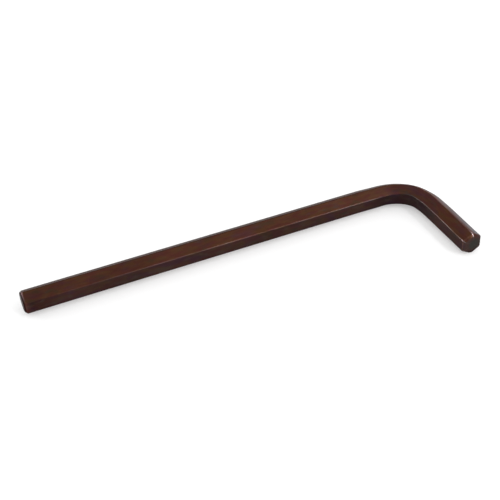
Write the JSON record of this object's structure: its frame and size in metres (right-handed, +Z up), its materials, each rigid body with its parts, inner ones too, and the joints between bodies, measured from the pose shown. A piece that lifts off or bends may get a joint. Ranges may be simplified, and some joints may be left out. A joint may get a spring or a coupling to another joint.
{
  "type": "hex key",
  "caption": "L-shaped hexagon key bent from hexagonal steel bar with rolled corners, with a long arm, a short arm, chamfered tips and a brown oxide finish.",
  "frame": {"origin": "on the surface that the lying key rests on, below the middle of its bounding box", "axes": "+X along the long arm, from its tip to the bend; +Y square to it, so that the short arm points along -Y; +Z up, square to the plane of the bend"},
  "size_m": [0.144, 0.041, 0.0079],
  "materials": {
    "oxide_steel": "drawn bar with a thin satin brown oxide"
  },
  "bodies": {
    "root": {"hex_key": "oxide_steel"}
  },
  "joints": []
}
